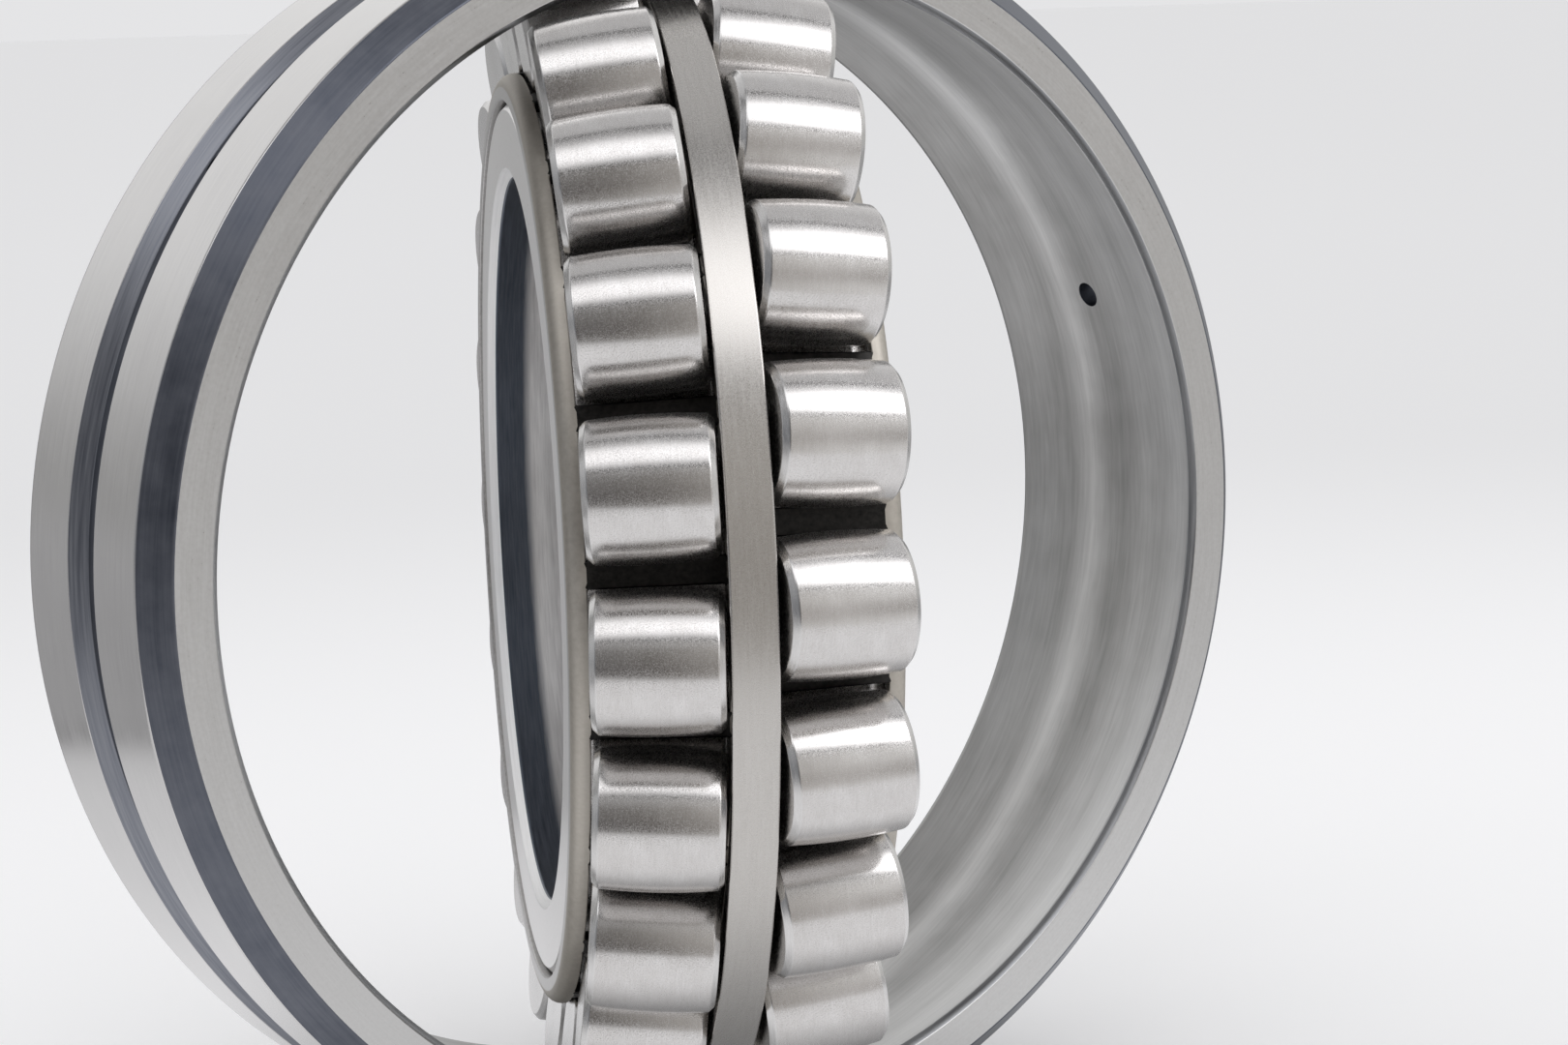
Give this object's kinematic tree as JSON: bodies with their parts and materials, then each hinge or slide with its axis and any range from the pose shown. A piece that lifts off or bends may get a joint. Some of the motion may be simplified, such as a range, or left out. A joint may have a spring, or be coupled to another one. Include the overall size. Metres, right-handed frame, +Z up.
{
  "type": "spherical roller bearing",
  "caption": "Double-row spherical roller bearing with a grooved outer ring, barrel rollers, window cages and a guide ring, shown with the inner assembly swivelled out.",
  "frame": {"origin": "centre of the bearing, where the axes of the outer ring and the inner assembly cross", "axes": "+Y along the outer ring's axis, +Z up and along the swivel axis, +X to the right of the outer ring's near face"},
  "size_m": [0.14, 0.1259, 0.14],
  "materials": {
    "outer_ring": "ground and hardened",
    "inner_ring": "ground and hardened",
    "guide_ring": "turned, matte",
    "cages": "pressed sheet, matte",
    "rollers": "superfinished"
  },
  "bodies": {
    "outer_ring": {"outer_ring": "outer_ring"},
    "guide_ring": {"guide_ring": "guide_ring"},
    "inner_ring": {"inner_ring": "inner_ring"},
    "left_cage": {"left_cage": "cages"},
    "right_cage": {"right_cage": "cages"},
    "left_roller_01": {"left_roller_01": "rollers"},
    "left_roller_02": {"left_roller_02": "rollers"},
    "left_roller_03": {"left_roller_03": "rollers"},
    "left_roller_04": {"left_roller_04": "rollers"},
    "left_roller_05": {"left_roller_05": "rollers"},
    "left_roller_06": {"left_roller_06": "rollers"},
    "left_roller_07": {"left_roller_07": "rollers"},
    "left_roller_08": {"left_roller_08": "rollers"},
    "left_roller_09": {"left_roller_09": "rollers"},
    "left_roller_10": {"left_roller_10": "rollers"},
    "left_roller_11": {"left_roller_11": "rollers"},
    "left_roller_12": {"left_roller_12": "rollers"},
    "left_roller_13": {"left_roller_13": "rollers"},
    "left_roller_14": {"left_roller_14": "rollers"},
    "left_roller_15": {"left_roller_15": "rollers"},
    "left_roller_16": {"left_roller_16": "rollers"},
    "left_roller_17": {"left_roller_17": "rollers"},
    "left_roller_18": {"left_roller_18": "rollers"},
    "left_roller_19": {"left_roller_19": "rollers"},
    "left_roller_20": {"left_roller_20": "rollers"},
    "left_roller_21": {"left_roller_21": "rollers"},
    "right_roller_01": {"right_roller_01": "rollers"},
    "right_roller_02": {"right_roller_02": "rollers"},
    "right_roller_03": {"right_roller_03": "rollers"},
    "right_roller_04": {"right_roller_04": "rollers"},
    "right_roller_05": {"right_roller_05": "rollers"},
    "right_roller_06": {"right_roller_06": "rollers"},
    "right_roller_07": {"right_roller_07": "rollers"},
    "right_roller_08": {"right_roller_08": "rollers"},
    "right_roller_09": {"right_roller_09": "rollers"},
    "right_roller_10": {"right_roller_10": "rollers"},
    "right_roller_11": {"right_roller_11": "rollers"},
    "right_roller_12": {"right_roller_12": "rollers"},
    "right_roller_13": {"right_roller_13": "rollers"},
    "right_roller_14": {"right_roller_14": "rollers"},
    "right_roller_15": {"right_roller_15": "rollers"},
    "right_roller_16": {"right_roller_16": "rollers"},
    "right_roller_17": {"right_roller_17": "rollers"},
    "right_roller_18": {"right_roller_18": "rollers"},
    "right_roller_19": {"right_roller_19": "rollers"},
    "right_roller_20": {"right_roller_20": "rollers"},
    "right_roller_21": {"right_roller_21": "rollers"}
  },
  "joints": [
    {"name": "swivel", "type": "hinge", "parent": "outer_ring", "child": "guide_ring", "pos_m": [0, 0, 0], "axis": [0, 0, 1], "range_deg": [-155.9, 24.1]},
    {"name": "inner_spin", "type": "hinge", "parent": "guide_ring", "child": "inner_ring", "pos_m": [0, 0, 0], "axis": [-0.9128, 0.4083, 0], "continuous": true},
    {"name": "left_cage_orbit", "type": "hinge", "parent": "guide_ring", "child": "left_cage", "pos_m": [0, 0, 0], "axis": [-0.9128, 0.4083, 0], "continuous": true},
    {"name": "right_cage_orbit", "type": "hinge", "parent": "guide_ring", "child": "right_cage", "pos_m": [0, 0, 0], "axis": [-0.9128, 0.4083, 0], "continuous": true},
    {"name": "left_roller_01_spin", "type": "hinge", "parent": "left_cage", "child": "left_roller_01", "pos_m": [0.01491, 0.05464, -0.00391], "axis": [-0.9645, 0.264, 0.0107], "continuous": true},
    {"name": "left_roller_02_spin", "type": "hinge", "parent": "left_cage", "child": "left_roller_02", "pos_m": [0.01342, 0.05132, -0.02023], "axis": [-0.9604, 0.273, 0.0553], "continuous": true},
    {"name": "left_roller_03_spin", "type": "hinge", "parent": "left_cage", "child": "left_roller_03", "pos_m": [0.01004, 0.04375, -0.03476], "axis": [-0.9512, 0.2937, 0.095], "continuous": true},
    {"name": "left_roller_04_spin", "type": "hinge", "parent": "left_cage", "child": "left_roller_04", "pos_m": [0.00506, 0.03261, -0.04619], "axis": [-0.9376, 0.3241, 0.1262], "continuous": true},
    {"name": "left_roller_05_spin", "type": "hinge", "parent": "left_cage", "child": "left_roller_05", "pos_m": [-0.00108, 0.01889, -0.05352], "axis": [-0.9208, 0.3616, 0.1462], "continuous": true},
    {"name": "left_roller_06_spin", "type": "hinge", "parent": "left_cage", "child": "left_roller_06", "pos_m": [-0.00783, 0.00381, -0.0561], "axis": [-0.9024, 0.4028, 0.1532], "continuous": true},
    {"name": "left_roller_07_spin", "type": "hinge", "parent": "left_cage", "child": "left_roller_07", "pos_m": [-0.01458, -0.0113, -0.05369], "axis": [-0.8839, 0.4441, 0.1467], "continuous": true},
    {"name": "left_roller_08_spin", "type": "hinge", "parent": "left_cage", "child": "left_roller_08", "pos_m": [-0.02075, -0.02508, -0.04651], "axis": [-0.8671, 0.4817, 0.127], "continuous": true},
    {"name": "left_roller_09_spin", "type": "hinge", "parent": "left_cage", "child": "left_roller_09", "pos_m": [-0.02578, -0.03633, -0.0352], "axis": [-0.8533, 0.5124, 0.0961], "continuous": true},
    {"name": "left_roller_10_spin", "type": "hinge", "parent": "left_cage", "child": "left_roller_10", "pos_m": [-0.02922, -0.04402, -0.02076], "axis": [-0.8439, 0.5335, 0.0567], "continuous": true},
    {"name": "left_roller_11_spin", "type": "hinge", "parent": "left_cage", "child": "left_roller_11", "pos_m": [-0.03078, -0.04749, -0.00447], "axis": [-0.8397, 0.543, 0.0122], "continuous": true},
    {"name": "left_roller_12_spin", "type": "hinge", "parent": "left_cage", "child": "left_roller_12", "pos_m": [-0.0303, -0.04643, 0.01221], "axis": [-0.841, 0.54, -0.0334], "continuous": true},
    {"name": "left_roller_13_spin", "type": "hinge", "parent": "left_cage", "child": "left_roller_13", "pos_m": [-0.02784, -0.04092, 0.02781], "axis": [-0.8477, 0.525, -0.076], "continuous": true},
    {"name": "left_roller_14_spin", "type": "hinge", "parent": "left_cage", "child": "left_roller_14", "pos_m": [-0.02361, -0.03147, 0.04093], "axis": [-0.8593, 0.4992, -0.1118], "continuous": true},
    {"name": "left_roller_15_spin", "type": "hinge", "parent": "left_cage", "child": "left_roller_15", "pos_m": [-0.01798, -0.0189, 0.05042], "axis": [-0.8746, 0.4648, -0.1377], "continuous": true},
    {"name": "left_roller_16_spin", "type": "hinge", "parent": "left_cage", "child": "left_roller_16", "pos_m": [-0.01147, -0.00433, 0.05543], "axis": [-0.8924, 0.425, -0.1514], "continuous": true},
    {"name": "left_roller_17_spin", "type": "hinge", "parent": "left_cage", "child": "left_roller_17", "pos_m": [-0.00464, 0.01093, 0.05551], "axis": [-0.9111, 0.3833, -0.1516], "continuous": true},
    {"name": "left_roller_18_spin", "type": "hinge", "parent": "left_cage", "child": "left_roller_18", "pos_m": [0.00189, 0.02554, 0.05067], "axis": [-0.9289, 0.3434, -0.1384], "continuous": true},
    {"name": "left_roller_19_spin", "type": "hinge", "parent": "left_cage", "child": "left_roller_19", "pos_m": [0.00756, 0.0382, 0.04131], "axis": [-0.9444, 0.3089, -0.1129], "continuous": true},
    {"name": "left_roller_20_spin", "type": "hinge", "parent": "left_cage", "child": "left_roller_20", "pos_m": [0.01184, 0.04777, 0.02829], "axis": [-0.9561, 0.2827, -0.0773], "continuous": true},
    {"name": "left_roller_21_spin", "type": "hinge", "parent": "left_cage", "child": "left_roller_21", "pos_m": [0.01437, 0.05342, 0.01276], "axis": [-0.963, 0.2673, -0.0348], "continuous": true},
    {"name": "right_roller_01_spin", "type": "hinge", "parent": "right_cage", "child": "right_roller_01", "pos_m": [0.03059, 0.04707, -0.00849], "axis": [-0.8402, 0.5418, -0.0232], "continuous": true},
    {"name": "right_roller_02_spin", "type": "hinge", "parent": "right_cage", "child": "right_roller_02", "pos_m": [0.02856, 0.04254, -0.02445], "axis": [-0.8457, 0.5294, -0.0668], "continuous": true},
    {"name": "right_roller_03_spin", "type": "hinge", "parent": "right_cage", "child": "right_roller_03", "pos_m": [0.0247, 0.03391, -0.03825], "axis": [-0.8563, 0.5058, -0.1045], "continuous": true},
    {"name": "right_roller_04_spin", "type": "hinge", "parent": "right_cage", "child": "right_roller_04", "pos_m": [0.01935, 0.02195, -0.04865], "axis": [-0.8709, 0.4732, -0.1329], "continuous": true},
    {"name": "right_roller_05_spin", "type": "hinge", "parent": "right_cage", "child": "right_roller_05", "pos_m": [0.01299, 0.00773, -0.05472], "axis": [-0.8883, 0.4343, -0.1495], "continuous": true},
    {"name": "right_roller_06_spin", "type": "hinge", "parent": "right_cage", "child": "right_roller_06", "pos_m": [0.00618, -0.00749, -0.05593], "axis": [-0.9069, 0.3927, -0.1528], "continuous": true},
    {"name": "right_roller_07_spin", "type": "hinge", "parent": "right_cage", "child": "right_roller_07", "pos_m": [-0.00048, -0.02237, -0.05218], "axis": [-0.925, 0.3521, -0.1425], "continuous": true},
    {"name": "right_roller_08_spin", "type": "hinge", "parent": "right_cage", "child": "right_roller_08", "pos_m": [-0.00638, -0.03557, -0.04378], "axis": [-0.9412, 0.316, -0.1196], "continuous": true},
    {"name": "right_roller_09_spin", "type": "hinge", "parent": "right_cage", "child": "right_roller_09", "pos_m": [-0.01101, -0.04593, -0.0315], "axis": [-0.9538, 0.2877, -0.086], "continuous": true},
    {"name": "right_roller_10_spin", "type": "hinge", "parent": "right_cage", "child": "right_roller_10", "pos_m": [-0.01396, -0.05252, -0.01642], "axis": [-0.9619, 0.2697, -0.0448], "continuous": true},
    {"name": "right_roller_11_spin", "type": "hinge", "parent": "right_cage", "child": "right_roller_11", "pos_m": [-0.01497, -0.05476, 0.00013], "axis": [-0.9646, 0.2636, 0.0003], "continuous": true},
    {"name": "right_roller_12_spin", "type": "hinge", "parent": "right_cage", "child": "right_roller_12", "pos_m": [-0.01393, -0.05245, 0.01666], "axis": [-0.9618, 0.2699, 0.0455], "continuous": true},
    {"name": "right_roller_13_spin", "type": "hinge", "parent": "right_cage", "child": "right_roller_13", "pos_m": [-0.01096, -0.0458, 0.03171], "axis": [-0.9537, 0.2881, 0.0866], "continuous": true},
    {"name": "right_roller_14_spin", "type": "hinge", "parent": "right_cage", "child": "right_roller_14", "pos_m": [-0.0063, -0.03539, 0.04394], "axis": [-0.941, 0.3165, 0.12], "continuous": true},
    {"name": "right_roller_15_spin", "type": "hinge", "parent": "right_cage", "child": "right_roller_15", "pos_m": [-0.00038, -0.02215, 0.05227], "axis": [-0.9248, 0.3527, 0.1428], "continuous": true},
    {"name": "right_roller_16_spin", "type": "hinge", "parent": "right_cage", "child": "right_roller_16", "pos_m": [0.00628, -0.00726, 0.05595], "axis": [-0.9066, 0.3934, 0.1528], "continuous": true},
    {"name": "right_roller_17_spin", "type": "hinge", "parent": "right_cage", "child": "right_roller_17", "pos_m": [0.01309, 0.00795, 0.05467], "axis": [-0.888, 0.4349, 0.1493], "continuous": true},
    {"name": "right_roller_18_spin", "type": "hinge", "parent": "right_cage", "child": "right_roller_18", "pos_m": [0.01944, 0.02215, 0.04852], "axis": [-0.8706, 0.4737, 0.1325], "continuous": true},
    {"name": "right_roller_19_spin", "type": "hinge", "parent": "right_cage", "child": "right_roller_19", "pos_m": [0.02477, 0.03407, 0.03807], "axis": [-0.8561, 0.5063, 0.104], "continuous": true},
    {"name": "right_roller_20_spin", "type": "hinge", "parent": "right_cage", "child": "right_roller_20", "pos_m": [0.0286, 0.04264, 0.02423], "axis": [-0.8456, 0.5297, 0.0662], "continuous": true},
    {"name": "right_roller_21_spin", "type": "hinge", "parent": "right_cage", "child": "right_roller_21", "pos_m": [0.0306, 0.0471, 0.00824], "axis": [-0.8402, 0.5419, 0.0225], "continuous": true}
  ],
  "couplings": [
    {"joint": "left_cage_orbit", "follows": "inner_spin", "ratio": 0.43615},
    {"joint": "right_cage_orbit", "follows": "inner_spin", "ratio": 0.43615},
    {"joint": "left_roller_01_spin", "follows": "inner_spin", "ratio": -3.8059},
    {"joint": "left_roller_02_spin", "follows": "inner_spin", "ratio": -3.8059},
    {"joint": "left_roller_03_spin", "follows": "inner_spin", "ratio": -3.8059},
    {"joint": "left_roller_04_spin", "follows": "inner_spin", "ratio": -3.8059},
    {"joint": "left_roller_05_spin", "follows": "inner_spin", "ratio": -3.8059},
    {"joint": "left_roller_06_spin", "follows": "inner_spin", "ratio": -3.8059},
    {"joint": "left_roller_07_spin", "follows": "inner_spin", "ratio": -3.8059},
    {"joint": "left_roller_08_spin", "follows": "inner_spin", "ratio": -3.8059},
    {"joint": "left_roller_09_spin", "follows": "inner_spin", "ratio": -3.8059},
    {"joint": "left_roller_10_spin", "follows": "inner_spin", "ratio": -3.8059},
    {"joint": "left_roller_11_spin", "follows": "inner_spin", "ratio": -3.8059},
    {"joint": "left_roller_12_spin", "follows": "inner_spin", "ratio": -3.8059},
    {"joint": "left_roller_13_spin", "follows": "inner_spin", "ratio": -3.8059},
    {"joint": "left_roller_14_spin", "follows": "inner_spin", "ratio": -3.8059},
    {"joint": "left_roller_15_spin", "follows": "inner_spin", "ratio": -3.8059},
    {"joint": "left_roller_16_spin", "follows": "inner_spin", "ratio": -3.8059},
    {"joint": "left_roller_17_spin", "follows": "inner_spin", "ratio": -3.8059},
    {"joint": "left_roller_18_spin", "follows": "inner_spin", "ratio": -3.8059},
    {"joint": "left_roller_19_spin", "follows": "inner_spin", "ratio": -3.8059},
    {"joint": "left_roller_20_spin", "follows": "inner_spin", "ratio": -3.8059},
    {"joint": "left_roller_21_spin", "follows": "inner_spin", "ratio": -3.8059},
    {"joint": "right_roller_01_spin", "follows": "inner_spin", "ratio": -3.8059},
    {"joint": "right_roller_02_spin", "follows": "inner_spin", "ratio": -3.8059},
    {"joint": "right_roller_03_spin", "follows": "inner_spin", "ratio": -3.8059},
    {"joint": "right_roller_04_spin", "follows": "inner_spin", "ratio": -3.8059},
    {"joint": "right_roller_05_spin", "follows": "inner_spin", "ratio": -3.8059},
    {"joint": "right_roller_06_spin", "follows": "inner_spin", "ratio": -3.8059},
    {"joint": "right_roller_07_spin", "follows": "inner_spin", "ratio": -3.8059},
    {"joint": "right_roller_08_spin", "follows": "inner_spin", "ratio": -3.8059},
    {"joint": "right_roller_09_spin", "follows": "inner_spin", "ratio": -3.8059},
    {"joint": "right_roller_10_spin", "follows": "inner_spin", "ratio": -3.8059},
    {"joint": "right_roller_11_spin", "follows": "inner_spin", "ratio": -3.8059},
    {"joint": "right_roller_12_spin", "follows": "inner_spin", "ratio": -3.8059},
    {"joint": "right_roller_13_spin", "follows": "inner_spin", "ratio": -3.8059},
    {"joint": "right_roller_14_spin", "follows": "inner_spin", "ratio": -3.8059},
    {"joint": "right_roller_15_spin", "follows": "inner_spin", "ratio": -3.8059},
    {"joint": "right_roller_16_spin", "follows": "inner_spin", "ratio": -3.8059},
    {"joint": "right_roller_17_spin", "follows": "inner_spin", "ratio": -3.8059},
    {"joint": "right_roller_18_spin", "follows": "inner_spin", "ratio": -3.8059},
    {"joint": "right_roller_19_spin", "follows": "inner_spin", "ratio": -3.8059},
    {"joint": "right_roller_20_spin", "follows": "inner_spin", "ratio": -3.8059},
    {"joint": "right_roller_21_spin", "follows": "inner_spin", "ratio": -3.8059}
  ]
}
